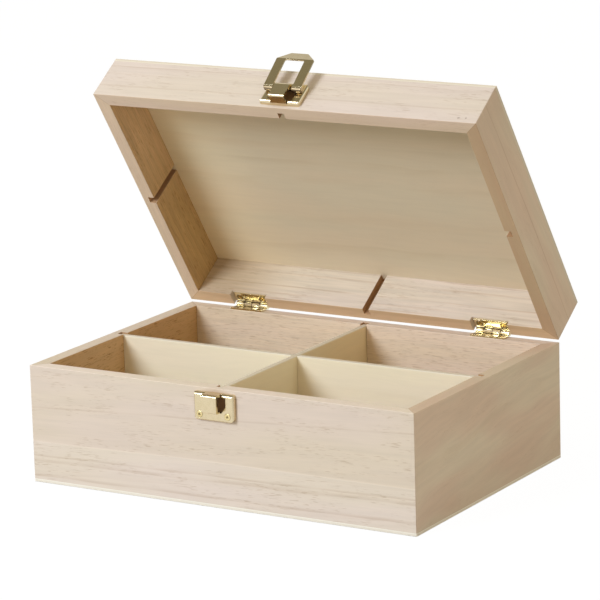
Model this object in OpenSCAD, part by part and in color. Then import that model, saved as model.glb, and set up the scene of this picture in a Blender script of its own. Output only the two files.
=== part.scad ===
// Tea bag organizer box: a mitred wooden box with a hinged lid, two dividers that
// drop into grooves, a pair of mortised butt hinges and a bail latch.
// Millimetres, +X to the right, +Y to the back, +Z up. The origin is the centre of
// the underside. The lid is drawn open at lid_open, with its bail folded back.

/* [Box] */
// Outside width, left to right
box_w = 240; // [190:1:320]
// Outside depth, front to back
box_d = 165; // [120:1:240]
// Height of the base, from its underside to its rim
base_h = 66; // [50:1:110]
// Height of the lid, from its rim to its top
lid_h = 29; // [25:1:60]
// Thickness of the rails
rail_t = 8; // [7:0.5:12]
// Thickness of the bottom panel
bottom_t = 2; // [1.5:0.5:5]
// Thickness of the top panel
top_t = 2; // [1.5:0.5:5]
// Radius of the sanded outer edges
edge_r = 0.6; // [0.4:0.1:1.2]
// Radius of the softened edges along the rims
rim_r = 0.3; // [0.2:0.1:0.6]

/* [Dividers] */
// Thickness of the two dividers
divider_t = 3.5; // [3:0.5:6]
// Depth of the grooves in the rails
groove_depth = 4; // [3:0.5:5]
// Clearance on each side of a divider in its groove
groove_fit = 0.25; // [0.15:0.05:0.5]
// Gap between a divider's end and the bottom of its groove
divider_end_gap = 1.3; // [0.5:0.1:2]
// How far the dividers' top edges lie below the rim
divider_drop = 0.75; // [0.5:0.25:10]
// Gap between the dividers and the bottom panel
divider_float = 0.2; // [0.1:0.1:0.5]
// Clearance on each side in the half-lap joint
lap_fit = 0.15; // [0.1:0.05:0.4]
// Chamfer along the dividers' top edges
divider_chamfer = 0.4; // [0.2:0.1:0.8]

/* [Lid] */
// Angle of the lid from closed
lid_open = 56; // [0:1:180]
// Gap between the rims when the lid is closed
rim_gap = 0.4; // [0.3:0.1:0.8]

/* [Hinges] */
// Length of a hinge along its pin
hinge_len = 21; // [21:1:40]
// Distance from the end of the box to a hinge
hinge_inset = 31; // [15:1:50]
// Distance of the hinge axis behind the back of the box
axis_back = 0.6; // [0.6:0.1:1.5]
// Sheet thickness of the leaves
leaf_t = 0.9; // [0.9:0.05:1.2]
// How far a leaf's free edge stays back from the inner face of its rail
leaf_set_in = 0.7; // [0.1:0.1:0.9]
// Diameter of a hinge pin
hinge_pin_d = 1.5; // [1.2:0.1:2]
// Radial clearance between a pin and what turns on it
pin_fit = 0.05; // [0.03:0.01:0.08]
// Gap between neighbouring knuckles
knuckle_gap = 0.3; // [0.2:0.1:0.5]
// Clearance at each end of a mortise
mortise_fit = 1.2; // [0.2:0.1:1.5]
// Distance between the two screws of a leaf
leaf_screw_pitch = 15; // [13:0.5:15]
// Diameter of a leaf screw's head
leaf_head_d = 3.3; // [3.1:0.1:3.4]
// Width of the dish pressed round a leaf screw
dish_d = 5; // [4:0.2:5.4]
// Depth of the dish
dish_depth = 0.3; // [0.1:0.05:0.3]

/* [Screws] */
// Diameter of a plate screw's head
head_d = 3.8; // [3.4:0.1:3.8]
// Diameter of a shank
shank_d = 2.1; // [1.9:0.1:2.2]
// Length of a screw over its head
screw_len = 6.5; // [5:0.5:7]
// Clearance round a screw
screw_fit = 0.05; // [0.03:0.01:0.1]

/* [Latch] */
// Width of a latch plate
plate_w = 25; // [24:0.5:30]
// Height of a latch plate
plate_h = 15.5; // [15:0.5:18]
// Height of a plate's face above the wood
plate_rise = 2.9; // [2.6:0.1:3.2]
// Distance of a plate from its rim
plate_inset = 2; // [1.5:0.1:3]
// Sheet thickness of the latch
sheet_t = 0.8; // [0.7:0.05:0.9]
// Width of a hook
hook_w = 9.6; // [8:0.2:10]
// Height of a hook above the wood
hook_rise = 7.7; // [7.6:0.1:8.2]
// Length of a hook along its plate
hook_len = 10; // [9.5:0.1:10.2]
// Gap between a hook's mouth and the face of its plate
hook_mouth = 1.3; // [1.2:0.05:1.4]
// Width of the window behind a hook
window_w = 15.4; // [14:0.2:16]
// Distance between the two screws of a plate
plate_screw_pitch = 17.4; // [17:0.1:18]

/* [Bail] */
// Width of the bail
bail_w = 23.4; // [22:0.2:24]
// Width of a leg
leg_w = 5.6; // [4.5:0.1:5.8]
// Distance from the pivot to the far side of the window
bail_reach = 18.6; // [18.4:0.1:20]
// Length of the lip
lip_len = 5.4; // [4:0.1:7]
// Width of the lip at its tip
lip_tip_w = 10.6; // [8:0.2:14]
// Bend of the lip out of the plane of the legs
lip_bend = 18; // [10:1:30]
// Diameter of the pivot wire
bail_pin_d = 1.6; // [1.5:0.05:1.7]
// Angle between the folded-back legs and the face of the lid
bail_lean = 7; // [0:1:20]

/* [Hidden] */

// Colours
rail_colour = "BurlyWood";
panel_colour = "Wheat";
divider_colour = "PaleGoldenrod";
brass_colour = "Gold";
screw_colour = "Goldenrod";
wire_colour = "DarkGoldenrod";

// Small margin by which a cut passes the face it opens
over = 1;
// Steps in a quarter of a rounded edge
arc_steps = 4;
round_fn = 48;

// Sides of the box, as quarter turns from the front
front = 0;
right = 1;
back = 2;
left = 3;

// Heights when the lid is closed
lid_rim_z = base_h + rim_gap;
lid_top_z = lid_rim_z + lid_h;
lid_panel_z = lid_top_z - top_t;

// Dividers and their grooves
groove_w = divider_t + 2 * groove_fit;
groove_floor = rail_t - groove_depth;
divider_z = bottom_t + divider_float;
divider_h = base_h - divider_drop - divider_z;
lap_w = divider_t + 2 * lap_fit;
lap_h = divider_h / 2 + lap_fit;

// Hinges: the knuckles fill the space between the base rim and the mortise floor
knuckle_count = 4;
knuckle_r = hinge_pin_d / 2 + pin_fit + leaf_t;
knuckle_pitch = hinge_len / knuckle_count;
mortise_depth = 2 * knuckle_r - rim_gap;
axis_y = box_d / 2 + axis_back;
axis_z = base_h + knuckle_r;
leaf_w = rail_t + axis_back - leaf_set_in;
leaf_root = knuckle_r + knuckle_gap;
leaf_screw_y = box_d / 2 - rail_t / 2;
leaf_screw_z = leaf_t - dish_depth;
hinge_x = box_w / 2 - hinge_inset - hinge_len / 2;
tongue_bite = 0.6;

// Screws
recess_w = 0.55;
recess_len = 2.4;
recess_depth = 0.5;
tip_len = 2;
hole_past_tip = 0.3;

// Latch plates, seen with the wood below and the rim at y = 0
plate_bend_r = 1.8;
plate_corner_r = 3.2;
plate_rim_corner_r = 1;
hook_bend_r = 1.2;
hook_flange = 1.5;
gusset_foot = 1;
gusset_head = 2.6;
mouth_z = plate_rise + hook_mouth;
notch_z = 1.4;
notch_gap = 0.5;
window_start = 1.9;
window_shoulder = 6.7;
window_end = 10.4;
window_foot_w = 10;
plate_screw_y = 12;

// Bail: its eyes turn on the pivot wire, which slides inside the hook
eye_r = bail_pin_d / 2 + pin_fit + sheet_t;
eye_clear = 0.35;
wire_z = plate_rise + eye_clear + eye_r;
wire_stop_gap = 0.1;
wire_y = hook_len - sheet_t - bail_pin_d / 2 - wire_stop_gap;
leg_start = 0.5;
window_lip = 0.6;
bend_y = bail_reach + window_lip;
eye_corner_r = 1;
bend_corner_r = 1.2;
lip_corner_r = 1;
window_corner_r = 1;
wire_end_gap = 0.2;

// Points of an arc about c from angle a to angle b
function arc(c, r, a, b) =
    [for (i = [0:arc_steps]) c + r * [cos(a + (b - a) * i / arc_steps), sin(a + (b - a) * i / arc_steps)]];

function unit(v) = v / norm(v);

// Points of the corner at p between a and b, rounded with radius r
function corner(a, p, b, r) =
    let (
        u = unit(a - p), v = unit(b - p), half = acos(u * v) / 2,
        c = p + unit(u + v) * r / sin(half),
        from = p + u * r / tan(half) - c, to = p + v * r / tan(half) - c,
        start = atan2(from.y, from.x), turn = atan2(to.y, to.x) - start
    )
    arc(c, r, start, start + (turn > 180 ? turn - 360 : turn < -180 ? turn + 360 : turn));

// Outline with each corner rounded by its own radius, 0 for a sharp one
function rounded(points, radii) = [
    for (i = [0:len(points) - 1])
        let (n = len(points), p = points[i])
            each radii[i] == 0 ? [p] : corner(points[(i + n - 1) % n], p, points[(i + 1) % n], radii[i])
];

// Extrudes a (y, z) outline along x, centred
module along_x(len) {
    translate([-len / 2, 0, 0])
        rotate([90, 0, 90])
            linear_extrude(len) children();
}

// Extrudes an (x, z) outline along y, from y = 0
module along_y(len) {
    translate([0, len, 0])
        rotate([90, 0, 0])
            linear_extrude(len) children();
}

// Rectangle with round corners, centred on the origin
module round_rect(w, d, r) {
    polygon(concat(
        arc([w / 2 - r, d / 2 - r], r, 0, 90),
        arc([r - w / 2, d / 2 - r], r, 90, 180),
        arc([r - w / 2, r - d / 2], r, 180, 270),
        arc([w / 2 - r, r - d / 2], r, 270, 360)
    ));
}

// Outline that stands on z = 0 and has its two upper corners rounded
module dome(half_a, half_b, h, r) {
    polygon(concat(
        [[-half_a, 0], [half_b, 0]],
        arc([half_b - r, h - r], r, 0, 90),
        arc([r - half_a, h - r], r, 90, 180)
    ));
}

// ---- Wood ----

// One mitred rail with its groove, its rim softened on the upper edge
module rail(side, h) {
    len = side % 2 == 0 ? box_w : box_d;
    out = side % 2 == 0 ? box_d / 2 : box_w / 2;
    intersection() {
        linear_extrude(h) round_rect(box_w, box_d, edge_r);
        rotate([0, 0, 90 * side])
            translate([0, -out, 0])
                difference() {
                    intersection() {
                        along_x(len) dome(0, rail_t, h, rim_r);
                        linear_extrude(h)
                            polygon([
                                [-len / 2, 0], [len / 2, 0],
                                [len / 2 - rail_t, rail_t], [rail_t - len / 2, rail_t]
                            ]);
                    }
                    translate([-groove_w / 2, groove_floor, -over])
                        cube([groove_w, groove_depth + over, h + 2 * over]);
                }
    }
}

module base_rail(side) {
    color(rail_colour)
        difference() {
            translate([0, 0, bottom_t]) rail(side, base_h - bottom_t);
            if (side == back) base_leaf_screws() pilot();
            if (side == front) on_base_front() plate_screws() pilot();
        }
}

module lid_rail(side) {
    color(rail_colour)
        difference() {
            translate([0, 0, lid_panel_z])
                mirror([0, 0, 1]) rail(side, lid_panel_z - lid_rim_z);
            if (side == back) {
                lid_leaf_screws() pilot();
                mortise(-hinge_x);
                mortise(hinge_x);
            }
            if (side == front) on_lid_front() plate_screws() pilot();
        }
}

// Housing for one hinge, cut right across the lid's back rail
module mortise(x) {
    len = hinge_len + 2 * mortise_fit;
    translate([x - len / 2, box_d / 2 - rail_t - over, lid_rim_z - over])
        cube([len, rail_t + 2 * over, mortise_depth + over]);
}

// Panel glued on a frame, with its upper edges rounded
module panel(t) {
    intersection() {
        linear_extrude(t) round_rect(box_w, box_d, edge_r);
        along_x(box_w) dome(box_d / 2, box_d / 2, t, edge_r);
        translate([0, -box_d / 2, 0]) along_y(box_d) dome(box_w / 2, box_w / 2, t, edge_r);
    }
}

module bottom_panel() {
    color(panel_colour)
        translate([0, 0, bottom_t])
            mirror([0, 0, 1]) panel(bottom_t);
}

module top_panel() {
    color(panel_colour)
        translate([0, 0, lid_panel_z]) panel(top_t);
}

// Divider along x, chamfered along its top edges
module divider(span) {
    len = span - 2 * (groove_floor + divider_end_gap);
    half = divider_t / 2;
    translate([0, 0, divider_z])
        along_x(len)
            polygon([
                [-half, 0], [half, 0],
                [half, divider_h - divider_chamfer], [half - divider_chamfer, divider_h],
                [divider_chamfer - half, divider_h], [-half, divider_h - divider_chamfer]
            ]);
}

module lap_slot(z) {
    translate([-lap_w / 2, -divider_t, z]) cube([lap_w, 2 * divider_t, lap_h + over]);
}

// The long divider is slotted from above
module long_divider() {
    color(divider_colour)
        difference() {
            divider(box_w);
            lap_slot(divider_z + divider_h - lap_h);
        }
}

// The cross divider is slotted from below and drops over the long one
module cross_divider() {
    color(divider_colour)
        rotate([0, 0, 90])
            difference() {
                divider(box_d);
                lap_slot(divider_z - over);
            }
}

// ---- Screws ----

// Depth of a 90 degree head of diameter d
function sink_depth(d) = (d - shank_d) / 2;

// Countersunk screw with its head's face at z = 0, pointing down
module screw(d) {
    sink = sink_depth(d);
    difference() {
        union() {
            translate([0, 0, -sink])
                cylinder(h = sink, d1 = shank_d, d2 = d, $fn = round_fn);
            translate([0, 0, tip_len - screw_len])
                cylinder(h = screw_len - tip_len - sink, d = shank_d, $fn = round_fn);
            translate([0, 0, -screw_len])
                cylinder(h = tip_len, d1 = 0, d2 = shank_d, $fn = round_fn);
        }
        for (turn = [45, 135])
            rotate([0, 0, turn])
                translate([-recess_len / 2, -recess_w / 2, -recess_depth])
                    cube([recess_len, recess_w, recess_depth + over]);
    }
}

// Space for a screw's shank, with the head's face at z = 0
module pilot() {
    translate([0, 0, -screw_len - hole_past_tip])
        cylinder(h = screw_len + hole_past_tip, d = shank_d + 2 * screw_fit, $fn = round_fn);
}

// Countersunk hole through a sheet, for a head of diameter d with its face at z = 0
module sunk_hole(d) {
    sink = sink_depth(d);
    wide = d + 2 * screw_fit;
    translate([0, 0, -sink])
        cylinder(h = sink, d1 = shank_d + 2 * screw_fit, d2 = wide, $fn = round_fn);
    cylinder(h = over, d = wide, $fn = round_fn);
    pilot();
}

// Hole of a leaf screw, with the dish that surrounds it
module dished_hole() {
    sunk_hole(leaf_head_d);
    slope = (dish_d - leaf_head_d) / dish_depth;
    cylinder(h = dish_depth + over, d1 = leaf_head_d, d2 = dish_d + slope * over, $fn = round_fn);
}

// ---- Hinges ----

// Puts children at the screws of both base leaves, or of both lid leaves
module base_leaf_screws() {
    for (x = [-hinge_x, hinge_x]) base_leaf_pair(x) children();
}

module base_leaf_pair(x) {
    for (s = [-1, 1])
        translate([x + s * leaf_screw_pitch / 2, leaf_screw_y, base_h + leaf_screw_z]) children();
}

module lid_leaf_screws() {
    for (x = [-hinge_x, hinge_x]) lid_leaf_pair(x) children();
}

module lid_leaf_pair(x) {
    for (s = [-1, 1])
        translate([x + s * leaf_screw_pitch / 2, leaf_screw_y, lid_rim_z + mortise_depth - leaf_screw_z])
            mirror([0, 0, 1]) children();
}

// Leaf about its pin: plate below the axis, every second knuckle from number first
module leaf(first) {
    difference() {
        union() {
            translate([-hinge_len / 2, -leaf_w, -knuckle_r])
                cube([hinge_len, leaf_w - leaf_root, leaf_t]);
            for (k = [first:2:knuckle_count - 1]) knuckle(k);
        }
        translate([-hinge_len / 2 - over, 0, 0])
            rotate([0, 90, 0])
                cylinder(h = hinge_len + 2 * over, d = hinge_pin_d + 2 * pin_fit, $fn = round_fn);
    }
}

module knuckle(k) {
    x = k * knuckle_pitch - hinge_len / 2 + knuckle_gap / 2;
    len = knuckle_pitch - knuckle_gap;
    translate([x, 0, 0])
        rotate([0, 90, 0])
            cylinder(h = len, r = knuckle_r, $fn = round_fn);
    translate([x, -leaf_root - tongue_bite, -knuckle_r])
        cube([len, leaf_root, leaf_t]);
}

module base_leaf(x) {
    color(brass_colour)
        difference() {
            translate([x, axis_y, axis_z]) leaf(0);
            base_leaf_pair(x) dished_hole();
        }
}

module lid_leaf(x) {
    color(brass_colour)
        difference() {
            translate([x, axis_y, axis_z]) mirror([0, 0, 1]) leaf(1);
            lid_leaf_pair(x) dished_hole();
        }
}

module hinge_pin(x) {
    color(wire_colour)
        translate([x - hinge_len / 2, axis_y, axis_z])
            rotate([0, 90, 0])
                cylinder(h = hinge_len, d = hinge_pin_d, $fn = round_fn);
}

// Swings the lid and all it carries from closed to lid_open
module opened() {
    translate([0, axis_y, axis_z])
        rotate([-lid_open, 0, 0])
            translate([0, -axis_y, -axis_z]) children();
}

// ---- Latch ----

// Puts a latch plate's own frame on the front of the base or of the lid
module on_base_front() {
    translate([0, -box_d / 2, base_h - plate_inset])
        mirror([0, 0, 1])
            rotate([90, 0, 0]) children();
}

module on_lid_front() {
    translate([0, -box_d / 2, lid_rim_z + plate_inset])
        rotate([90, 0, 0]) children();
}

module plate_screws() {
    for (s = [-1, 1])
        translate([s * plate_screw_pitch / 2, plate_screw_y, plate_rise]) children();
}

// Domed block from which the pan is cut
module pan(inset, rise, bend_r) {
    w = plate_w - 2 * inset;
    h = plate_h - 2 * inset;
    near_r = plate_rim_corner_r - inset;
    far_r = plate_corner_r - inset;
    translate([0, plate_h / 2, 0])
        intersection() {
            linear_extrude(rise)
                polygon(rounded(
                    [[-w / 2, -h / 2], [w / 2, -h / 2], [w / 2, h / 2], [-w / 2, h / 2]],
                    [near_r, near_r, far_r, far_r]
                ));
            along_x(w) dome(h / 2, h / 2, rise, bend_r);
            translate([0, -h / 2, 0]) along_y(h) dome(w / 2, w / 2, rise, bend_r);
        }
}

// Outer line of the hook, from its root to its mouth
hook_line = concat(
    [[0, 0]],
    arc([hook_bend_r, hook_rise - hook_bend_r], hook_bend_r, 180, 90),
    arc([hook_len - hook_bend_r, hook_rise - hook_bend_r], hook_bend_r, 90, 0)
);

// Inner line of the hook, from its mouth to its root
hook_inner_r = hook_bend_r - sheet_t;
hook_inside = concat(
    arc([hook_len - hook_bend_r, hook_rise - hook_bend_r], hook_inner_r, 0, 90),
    arc([hook_bend_r, hook_rise - hook_bend_r], hook_inner_r, 90, 180),
    [[sheet_t, 0]]
);

// Sheet folded out of the plate into a hook, with a turned-down mouth
module hook() {
    along_x(hook_w)
        polygon(concat(hook_line, [[hook_len, mouth_z], [hook_len - sheet_t, mouth_z]], hook_inside));
    for (s = [-1, 1])
        translate([s * (hook_w - sheet_t) / 2, 0, 0])
            along_x(sheet_t)
                polygon(concat(hook_line, [
                    [hook_len, hook_rise - hook_flange], [gusset_head, hook_rise - hook_flange],
                    [gusset_foot, plate_rise], [gusset_foot, 0]
                ]));
}

module latch_plate() {
    neck_w = hook_w + 2 * notch_gap;
    color(brass_colour) {
        difference() {
            pan(0, plate_rise, plate_bend_r);
            translate([0, 0, -over]) pan(sheet_t, plate_rise - sheet_t + over, plate_bend_r - sheet_t);
            translate([0, 0, -over])
                linear_extrude(plate_rise + 2 * over)
                    polygon([
                        [-neck_w / 2, sheet_t], [neck_w / 2, sheet_t], [neck_w / 2, window_start],
                        [window_w / 2, window_start], [window_w / 2, window_shoulder],
                        [window_foot_w / 2, window_end], [-window_foot_w / 2, window_end],
                        [-window_w / 2, window_shoulder], [-window_w / 2, window_start],
                        [-neck_w / 2, window_start]
                    ]);
            translate([-neck_w / 2, -over, notch_z])
                cube([neck_w, 2 * over, plate_rise]);
            plate_screws() sunk_hole(head_d);
        }
        hook();
    }
}

module bail_at_pivot() {
    on_lid_front()
        translate([0, wire_y, wire_z]) children();
}

module bail_pivot_wire() {
    len = bail_w - 2 * wire_end_gap;
    color(wire_colour)
        bail_at_pivot()
            translate([-len / 2, 0, 0])
                rotate([0, 90, 0])
                    cylinder(h = len, d = bail_pin_d, $fn = round_fn);
}

// Side view of the bail's sheet: the legs, then the lip bent down
module bail_side() {
    face = eye_r - sheet_t;
    tip = [bend_y, face] + lip_len * [cos(lip_bend), -sin(lip_bend)];
    polygon([
        [leg_start, face], [bend_y, face], tip, tip + sheet_t * [sin(lip_bend), cos(lip_bend)],
        [bend_y + sheet_t * tan(lip_bend / 2), eye_r], [leg_start, eye_r]
    ]);
}

// Plan of the bail, with the lip tapering from the bend to its tip
module bail_plan() {
    tip_y = bend_y + lip_len * cos(lip_bend) + sheet_t * sin(lip_bend);
    polygon(rounded(
        [
            [-bail_w / 2, -eye_r], [bail_w / 2, -eye_r], [bail_w / 2, bend_y],
            [lip_tip_w / 2, tip_y], [-lip_tip_w / 2, tip_y], [-bail_w / 2, bend_y]
        ],
        [eye_corner_r, eye_corner_r, bend_corner_r, lip_corner_r, lip_corner_r, bend_corner_r]
    ));
}

// Window between the legs, open past the eyes
module bail_window() {
    w = bail_w - 2 * leg_w;
    polygon(rounded(
        [[-w / 2, -eye_r - over], [w / 2, -eye_r - over], [w / 2, bail_reach], [-w / 2, bail_reach]],
        [0, 0, window_corner_r, window_corner_r]
    ));
}

// Bail about its pivot, legs along y: one stamping with two rolled eyes
module bail_frame() {
    difference() {
        intersection() {
            union() {
                along_x(bail_w) bail_side();
                translate([-bail_w / 2, 0, 0])
                    rotate([0, 90, 0])
                        cylinder(h = bail_w, r = eye_r, $fn = round_fn);
            }
            translate([0, 0, -bail_w]) linear_extrude(2 * bail_w) bail_plan();
        }
        translate([0, 0, -bail_w]) linear_extrude(2 * bail_w) bail_window();
        translate([-bail_w / 2 - over, 0, 0])
            rotate([0, 90, 0])
                cylinder(h = bail_w + 2 * over, d = bail_pin_d + 2 * pin_fit, $fn = round_fn);
    }
}

module bail() {
    color(brass_colour)
        bail_at_pivot()
            rotate([bail_lean, 0, 0]) bail_frame();
}

// ---- Assembly ----

base_rail(front);  // base_front_rail
base_rail(right);  // base_right_rail
base_rail(back);  // base_back_rail
base_rail(left);  // base_left_rail
bottom_panel();
long_divider();
cross_divider();

opened() lid_rail(front);  // lid_front_rail
opened() lid_rail(right);  // lid_right_rail
opened() lid_rail(back);  // lid_back_rail
opened() lid_rail(left);  // lid_left_rail
opened() top_panel();

base_leaf(-hinge_x);  // left_hinge_base_leaf
opened() lid_leaf(-hinge_x);  // left_hinge_lid_leaf
hinge_pin(-hinge_x);  // left_hinge_pin
base_leaf(hinge_x);  // right_hinge_base_leaf
opened() lid_leaf(hinge_x);  // right_hinge_lid_leaf
hinge_pin(hinge_x);  // right_hinge_pin
color(screw_colour) base_leaf_screws() screw(leaf_head_d);  // base_hinge_screws
color(screw_colour) opened() lid_leaf_screws() screw(leaf_head_d);  // lid_hinge_screws

on_base_front() latch_plate();  // catch_plate
color(screw_colour) on_base_front() plate_screws() screw(head_d);  // catch_plate_screws
opened() on_lid_front() latch_plate();  // bail_plate
color(screw_colour) opened() on_lid_front() plate_screws() screw(head_d);  // bail_plate_screws
opened() bail_pivot_wire();
opened() bail();
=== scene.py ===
from math import cos, hypot, pi, radians, sin

import bmesh
import bpy
from mathutils import Matrix, Vector


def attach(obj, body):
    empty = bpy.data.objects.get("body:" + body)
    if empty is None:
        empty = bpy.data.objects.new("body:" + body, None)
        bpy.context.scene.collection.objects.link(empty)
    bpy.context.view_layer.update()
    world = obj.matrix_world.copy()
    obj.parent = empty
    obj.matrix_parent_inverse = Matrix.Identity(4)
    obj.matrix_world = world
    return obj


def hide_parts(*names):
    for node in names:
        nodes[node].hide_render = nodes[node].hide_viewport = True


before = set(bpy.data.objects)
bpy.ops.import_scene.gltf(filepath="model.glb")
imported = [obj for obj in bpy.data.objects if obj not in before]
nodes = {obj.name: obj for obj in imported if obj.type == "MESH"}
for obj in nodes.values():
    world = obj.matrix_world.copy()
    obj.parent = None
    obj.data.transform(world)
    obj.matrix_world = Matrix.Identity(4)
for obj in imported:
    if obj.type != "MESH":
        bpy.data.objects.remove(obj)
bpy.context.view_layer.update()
mm = 0.001
print("frame loaded:", len(nodes), "pieces")


def linear(c):
    return c / 12.92 if c <= 0.04045 else ((c + 0.055) / 1.055) ** 2.4


def paint(red, green, blue):  # a colour given on a 0-255 scale
    return tuple(linear(c / 255) for c in (red, green, blue)) + (1.0,)


def feed(tree, socket, value):
    if isinstance(value, bpy.types.NodeSocket):
        tree.links.new(value, socket)
    else:
        socket.default_value = value


def addNode(tree, kind, inputs=None, **settings):
    node = tree.nodes.new("ShaderNode" + kind)
    for name, value in settings.items():
        setattr(node, name, value)
    for socket, value in (inputs or {}).items():
        feed(tree, node.inputs[socket], value)
    return node


def calc(tree, operation, *values):
    node = addNode(tree, "Math", operation=operation)
    for socket, value in zip(node.inputs, values):
        feed(tree, socket, value)
    return node.outputs[0]


def product(tree, *values):
    total = values[0]
    for value in values[1:]:
        total = calc(tree, "MULTIPLY", total, value)
    return total


def vectorCalc(tree, operation, a, b):
    return addNode(tree, "VectorMath", {0: a, 1: b}, operation=operation).outputs[0]


def vectorLength(tree, vector):
    return addNode(tree, "VectorMath", {0: vector}, operation="LENGTH").outputs["Value"]


def scaled(tree, vector, amount):
    return addNode(tree, "VectorMath", {0: vector, "Scale": amount}, operation="SCALE").outputs[0]


def joined(tree, x=0.0, y=0.0, z=0.0):
    return addNode(tree, "CombineXYZ", {0: x, 1: y, 2: z}).outputs[0]


def split(tree, vector):
    return addNode(tree, "SeparateXYZ", {0: vector}).outputs


def remap(tree, value, low, high, toLow, toHigh, smooth=True):
    kind = "SMOOTHSTEP" if smooth else "LINEAR"
    return addNode(tree, "MapRange", {
        "Value": value, "From Min": low, "From Max": high, "To Min": toLow, "To Max": toHigh,
    }, interpolation_type=kind).outputs["Result"]


def rising(tree, value, low, high, smooth=True):
    return remap(tree, value, low, high, 0.0, 1.0, smooth)


def falling(tree, value, low, high, smooth=True):
    return remap(tree, value, low, high, 1.0, 0.0, smooth)


def blendValue(tree, factor, a, b):
    return addNode(tree, "Mix", {0: factor, 2: a, 3: b}, data_type="FLOAT").outputs[0]


def blendColour(tree, factor, a, b):
    return addNode(tree, "Mix", {0: factor, 6: a, 7: b}, data_type="RGBA").outputs[2]


def tinted(tree, colour, mask, amount, tint):  # multiplies by the tint where the mask is
    factor = product(tree, mask, amount)
    node = addNode(tree, "Mix", {0: factor, 6: colour, 7: tint}, data_type="RGBA", blend_type="MULTIPLY")
    return node.outputs[2]


def noise(tree, vector, detail=2.0, roughness=0.5):
    return addNode(tree, "TexNoise", {
        "Vector": vector, "Scale": 1.0, "Detail": detail, "Roughness": roughness,
    })


# noise drawn out to a size, that comes up between two of its levels
def streaks(tree, place, size, shows, low=0.0, detail=1.0, roughness=0.5, smooth=True):
    field = noise(tree, vectorCalc(tree, "DIVIDE", place, size), detail, roughness)
    return remap(tree, field.outputs["Fac"], *shows, low, 1.0, smooth)


def bump(tree, height, distance):
    return addNode(tree, "Bump", {"Height": height, "Distance": distance}).outputs[0]


def makeGroup(name, given, made):
    tree = bpy.data.node_groups.new(name, "ShaderNodeTree")
    for label, kind, value in given:
        socket = tree.interface.new_socket(label, in_out="INPUT", socket_type="NodeSocket" + kind)
        if value is not None:
            socket.default_value = value
    for label in made:
        tree.interface.new_socket(label, in_out="OUTPUT", socket_type="NodeSocketFloat")
    start = tree.nodes.new("NodeGroupInput")
    end = tree.nodes.new("NodeGroupOutput")
    return tree, start.outputs, end.inputs


def socketName(word):  # ringSpacing feeds the socket Ring Spacing
    return "".join(" " + letter if letter.isupper() else letter for letter in word).title()


def useGroup(tree, group, **given):
    inputs = {socketName(word): value for word, value in given.items()}
    return addNode(tree, "Group", inputs, node_tree=group).outputs


def emptyTree(owner):
    owner.use_nodes = True
    owner.node_tree.nodes.clear()
    return owner.node_tree


def newMaterial(name):
    material = bpy.data.materials.new(name)
    tree = emptyTree(material)
    shader = addNode(tree, "BsdfPrincipled")
    addNode(tree, "OutputMaterial", {"Surface": shader.outputs[0]})
    return material, tree, shader.inputs


grain = {  # sizes along and across the grain in millimetres, and the noise levels that each shows between
    "seedStep": (61.7, 13.3, 7.9), "waverSize": (70.0, 22.0, 22.0), "waverDetail": 1.5,
    "ringWander": 0.6, "ringUneven": 2.0, "ringRise": (0.45, 0.9), "ringFall": (0.9, 1.0),
    "ringWeights": (0.2, 1.0), "lightestRing": 0.1,
    "ringGapSize": (38.0, 9.0, 9.0), "ringGapShows": (0.35, 0.62), "faintestRing": 0.15,
    "bandSize": (34.0, 2.6, 2.6), "bandShows": (0.3, 0.7), "bandDetail": 1.5,
    "fibreSize": (22.0, 0.7, 0.7), "fibreShows": (0.3, 0.7), "fibreDetail": 3.0, "fibreRoughness": 0.65,
    "dashSize": (6.0, 0.45, 0.45), "dashShows": (0.58, 0.7),
    "patchSize": (32.0, 7.0, 7.0), "patchShows": (0.42, 0.6),
    "driftWidth": 20.0, "driftShows": (0.3, 0.7),
}


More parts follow.
